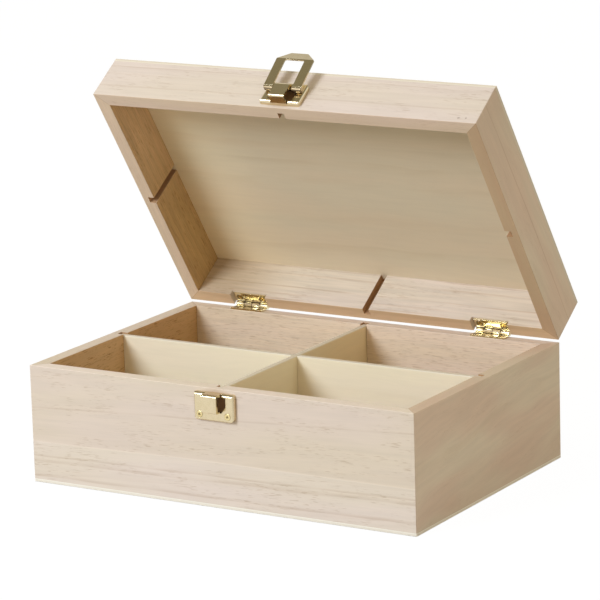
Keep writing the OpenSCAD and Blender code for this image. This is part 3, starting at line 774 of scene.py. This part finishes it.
stampings = {  # body, slot, metal, width of the softened edges
    "catch_plate": ("base", "latch_brass", "latchGold", 0.035),
    "bail_plate": ("lid", "latch_brass", "latchGold", 0.035),
    "bail": ("bail", "latch_brass", "latchGold", 0.05),
    "bail_pivot_wire": ("pivot_wire", "latch_brass", "wireGold", 0.12),
    "left_hinge_base_leaf": ("base", "hinge_brass", "leafGold", 0.06),
    "left_hinge_lid_leaf": ("lid", "hinge_brass", "leafGold", 0.06),
    "right_hinge_base_leaf": ("base", "hinge_brass", "leafGold", 0.06),
    "right_hinge_lid_leaf": ("lid", "hinge_brass", "leafGold", 0.06),
    "left_hinge_pin": ("base", "hinge_brass", "wireGold", 0.12),
    "right_hinge_pin": ("base", "hinge_brass", "wireGold", 0.12),
}
for name, (body, slotName, metal, width) in stampings.items():
    shape = mergedCopy(name)
    softenEdges(shape, width)
    if "leaf" in name:
        paintHingeShade(shape, body == "lid")
    elif name == "bail":
        paintBailShade(shape)
    finishMetal(shape, name + "_stamped", body, metal, name)
print("brass stampings made")


screw = {
    "length": 6.5, "rootRadius": 0.78, "crestRadius": 1.03, "pitch": 0.9, "tip": 2.0, "spinSteps": 28,
    "neck": 0.2, "neckLength": 0.3, "innerFlat": 0.6, "domeStep": 15,
    "recessWidth": 0.55, "recessDepth": 0.55, "recessTaper": 0.55, "recessTurns": (45, 135),
    "threadSteps": 16, "threadStart": 0.4, "threadHalf": 0.22, "threadSink": 0.08,
    "crossShare": 0.52, "crossFloor": -0.8, "crossTop": -0.2, "rimShare": 0.95, "rimShade": 0.7,
    "firstTurn": 11, "nextTurn": 23,
}
heads = {  # radius, depth of the cone, rise of the dome, length of the cross
    "hinge": {"radius": 1.65, "sink": 0.6, "rise": 0.0, "recess": 2.0},
    "plate": {"radius": 1.9, "sink": 0.85, "rise": 0.28, "recess": 2.3},
}


def spinProfile(shape, points, steps):
    verts = [shape.verts.new((r * mm, 0.0, z * mm)) for r, z in points]
    edges = [shape.edges.new(pair) for pair in zip(verts, verts[1:])]
    bmesh.ops.spin(shape, geom=verts + edges, cent=(0, 0, 0), axis=(0, 0, 1), angle=2 * pi, steps=steps,
                   use_merge=True)
    mergeDoubles(shape)
    turnOutwards(shape)


def crossArm(head, turn):
    arm = bmesh.new()
    bmesh.ops.create_cube(arm, size=1.0)
    for v in arm.verts:
        taper = screw["recessTaper"] if v.co.z < 0 else 1.0
        v.co.x *= head["recess"] * taper * mm
        v.co.y *= screw["recessWidth"] * taper * mm
        v.co.z = (v.co.z * 2 * screw["recessDepth"] + head["rise"]) * mm
    arm.transform(Matrix.Rotation(radians(turn), 4, "Z"))
    return asObject(arm, "screwArm")


def screwThread(sink):
    thread = bmesh.new()
    start = -sink - screw["threadStart"]
    turns = (screw["length"] - screw["tip"] + start) / screw["pitch"]
    inside = screw["rootRadius"] - screw["threadSink"]
    corners = [(inside, start), (screw["crestRadius"], start - screw["threadHalf"]),
               (inside, start - 2 * screw["threadHalf"])]
    face = thread.faces.new([thread.verts.new((r * mm, 0.0, z * mm)) for r, z in corners])
    steps = round(turns * screw["threadSteps"])
    bmesh.ops.spin(thread, geom=[face], cent=(0, 0, 0), axis=(0, 0, 1), angle=2 * pi * turns, steps=steps,
                   dvec=(0, 0, -screw["pitch"] * turns / steps * mm), use_merge=False)
    turnOutwards(thread)
    return asMesh(thread, "thread")


def screwOutline(head):
    radius, rise, root = head["radius"], head["rise"], screw["rootRadius"]
    if rise:
        angles = [radians(a) for a in range(90, -1, -screw["domeStep"])]
        top = [(radius * cos(a), rise * sin(a)) for a in angles]
    else:
        top = [(0.0, 0.0), (radius * screw["innerFlat"], 0.0), (radius, 0.0)]
    neck = -head["sink"] - screw["neckLength"]
    return top + [(root + screw["neck"], -head["sink"]), (root, neck),
                  (root, screw["tip"] - screw["length"]), (0.0, -screw["length"])]


# painted shade in the bottom of the cross and round the head
def paintScrewShade(shape, head):
    paintedShade = shape.verts.layers.float.new("paintedShade")
    floor, top = screw["crossFloor"], head["rise"] + screw["crossTop"]
    for v in shape.verts:
        away = v.co.xy.length / mm
        inCross = away < head["recess"] * screw["crossShare"] and floor < v.co.z / mm < top
        atRim = away > head["radius"] * screw["rimShare"]
        v[paintedShade] = 1.0 if inCross else screw["rimShade"] if atRim else 0.0


def screwMesh(head):
    body = bmesh.new()
    spinProfile(body, screwOutline(head), screw["spinSteps"])
    blank = asObject(body, "screwBlank")
    arms = [crossArm(head, turn) for turn in screw["recessTurns"]]
    for arm in arms:
        cut = blank.modifiers.new("recess", "BOOLEAN")
        cut.object = arm
        cut.operation = "DIFFERENCE"
        cut.solver = "EXACT"
    ready = bmesh.new()
    ready.from_object(blank, bpy.context.evaluated_depsgraph_get())
    for piece in arms + [blank]:
        bpy.data.objects.remove(piece)
    mergeSlivers(ready)
    paintScrewShade(ready, head)
    ready.from_mesh(screwThread(head["sink"]))
    return asMesh(ready, "screwShape")


latchPlate = {"screwX": 8.7, "front": -85.4}
screwSpots = {
    "hinge": [(x, hinge["screwY"]) for x in hingeSpots],
    "plate": [(side * latchPlate["screwX"], latchPlate["front"]) for side in (-1, 1)],
}
screwRows = {  # body, head, metal, degrees it leans about x, height with the lid shut
    "base_hinge_screws": ("base", "hinge", "oldScrewGold", 0.0, 66.6),
    "lid_hinge_screws": ("lid", "hinge", "oldScrewGold", 180.0, 68.8),
    "catch_plate_screws": ("base", "plate", "screwGold", 90.0, 52.0),
    "bail_plate_screws": ("lid", "plate", "screwGold", 90.0, 80.4),
}
screwShapes = {name: screwMesh(head) for name, head in heads.items()}
for name, (body, head, metal, lean, height) in screwRows.items():
    row = bmesh.new()
    for i, (x, y) in enumerate(screwSpots[head]):
        turn = Matrix.Rotation(radians(screw["nextTurn"] * i + screw["firstTurn"]), 4, "Z")
        put = Matrix.Translation(Vector((x, y, height)) * mm) @ Matrix.Rotation(radians(lean), 4, "X") @ turn
        one = bmesh.new()
        one.from_mesh(screwShapes[head])
        one.transform(lidOpening @ put if body == "lid" else put)
        row.from_mesh(asMesh(one, "placedScrew"))
    finishMetal(row, name + "_turned", body, metal, name)
print("screws made")


room = {
    "floorSize": 14.0, "floorPaint": 0.45, "floorShow": 0.88, "floorGlow": 1.1,
    "paintedFloorShade": 0.4, "shadeBand": (0.08, 0.4),
    "keyPower": 30.5, "keySize": 0.85, "keyDistance": 2.2, "keyFrom": (-0.35, -0.82, 0.45),
    "keyAim": (0.0, 0.0, 0.1), "keyColour": (0.89, 0.98, 1.1),
    "fillColour": (1.02, 0.94, 0.74), "sideColour": (1.0, 0.76, 0.52),
    "horizonFill": 0.747, "horizonBand": (0.05, 0.5), "topFill": 0.783, "topBand": (0.3, 0.8),
    "sideFill": 0.33, "sideBand": (0.1, 0.8), "sideHeight": (0.05, 0.7),
    "backFill": 0.28, "backBand": (0.1, 0.8), "backHeight": (0.3, 0.9),
    "paintedCeiling": (0.27, 0.25, 0.18, 1.0), "ceilingBand": (0.6, 0.86),
}


def seenDirectly(tree):  # by the camera, or by glossy or transmitted rays
    path = addNode(tree, "LightPath").outputs
    seen = calc(tree, "MAXIMUM", path["Is Camera Ray"], path["Is Glossy Ray"])
    return path, calc(tree, "MAXIMUM", seen, path["Is Transmission Ray"])


def buildFloor():
    shape = bmesh.new()
    bmesh.ops.create_grid(shape, x_segments=1, y_segments=1, size=room["floorSize"] / 2)
    floor = asObject(shape, "studio_floor")
    material = bpy.data.materials.new("floorPaper")
    tree = emptyTree(material)
    paper = addNode(tree, "BsdfDiffuse", {"Color": (room["floorPaint"],) * 3 + (1.0,)})
    # painted shade: mirrored in metal, the floor's glow falls off to the right of the box
    path, seen = seenDirectly(tree)
    x = split(tree, addNode(tree, "TexCoord").outputs["Object"])[0]
    shade = remap(tree, x, *room["shadeBand"], 1.0, room["paintedFloorShade"])
    strength = blendValue(tree, path["Is Camera Ray"], shade, 1.0)
    glow = addNode(tree, "Emission", {"Strength": product(tree, strength, room["floorGlow"])})
    mixed = addNode(tree, "MixShader", {
        0: product(tree, seen, room["floorShow"]), 1: paper.outputs[0], 2: glow.outputs[0],
    })
    addNode(tree, "OutputMaterial", {"Surface": mixed.outputs[0]})
    floor.data.materials.append(material)


def buildWorld():
    world = bpy.data.worlds.new("studio")
    bpy.context.scene.world = world
    tree = emptyTree(world)
    x, y, up = split(tree, addNode(tree, "TexCoord").outputs["Generated"])
    fill = calc(tree, "ADD", product(tree, falling(tree, up, *room["horizonBand"]), room["horizonFill"]),
                product(tree, rising(tree, up, *room["topBand"]), room["topFill"]))
    side = product(tree, rising(tree, x, *room["sideBand"]), falling(tree, up, *room["sideHeight"]),
                   room["sideFill"])
    behind = product(tree, rising(tree, y, *room["backBand"]), falling(tree, up, *room["backHeight"]),
                     room["backFill"])
    light = vectorCalc(tree, "ADD", scaled(tree, room["fillColour"], calc(tree, "ADD", fill, behind)),
                       scaled(tree, room["sideColour"], side))
    path, seen = seenDirectly(tree)
    white = (1.0, 1.0, 1.0, 1.0)
    # painted reflection: metal shows a dark ceiling overhead, while the light from above stays bright
    shown = blendColour(tree, rising(tree, up, *room["ceilingBand"]), white, room["paintedCeiling"])
    shown = blendColour(tree, path["Is Camera Ray"], shown, white)
    glow = addNode(tree, "Background", {"Color": blendColour(tree, seen, light, shown)})
    addNode(tree, "OutputWorld", {"Surface": glow.outputs[0]})


def buildKey():
    lamp = bpy.data.lights.new("keySoftBox", "AREA")
    lamp.shape = "DISK"
    lamp.size = room["keySize"]
    lamp.energy = room["keyPower"]
    lamp.color = room["keyColour"]
    key = bpy.data.objects.new("keySoftBox", lamp)
    bpy.context.scene.collection.objects.link(key)
    direction = Vector(room["keyFrom"]).normalized()
    key.location = Vector(room["keyAim"]) + direction * room["keyDistance"]
    key.rotation_mode = "QUATERNION"
    key.rotation_quaternion = direction.to_track_quat("Z", "Y")


view = {
    "spot": (0.96807, -1.59037, 0.53476), "lens": 210.22, "sensor": 36.0, "near": 0.05, "far": 60.0,
    "right": (0.858203, 0.512526, -0.028378), "up": (-0.093906, 0.211111, 0.972941),
    "back": (0.504649, -0.832315, 0.229306),
}


def buildCamera():
    camera = bpy.data.cameras.new("camera")
    camera.lens = view["lens"]
    camera.sensor_width = view["sensor"]
    camera.clip_start = view["near"]
    camera.clip_end = view["far"]
    holder = bpy.data.objects.new("camera", camera)
    bpy.context.scene.collection.objects.link(holder)
    turn = Matrix((view["right"], view["up"], view["back"])).transposed().to_4x4()
    holder.matrix_world = Matrix.Translation(view["spot"]) @ turn
    bpy.context.scene.camera = holder


buildFloor()
buildWorld()
buildKey()
buildCamera()
bpy.context.scene.view_settings.view_transform = "Standard"
print("stage set")
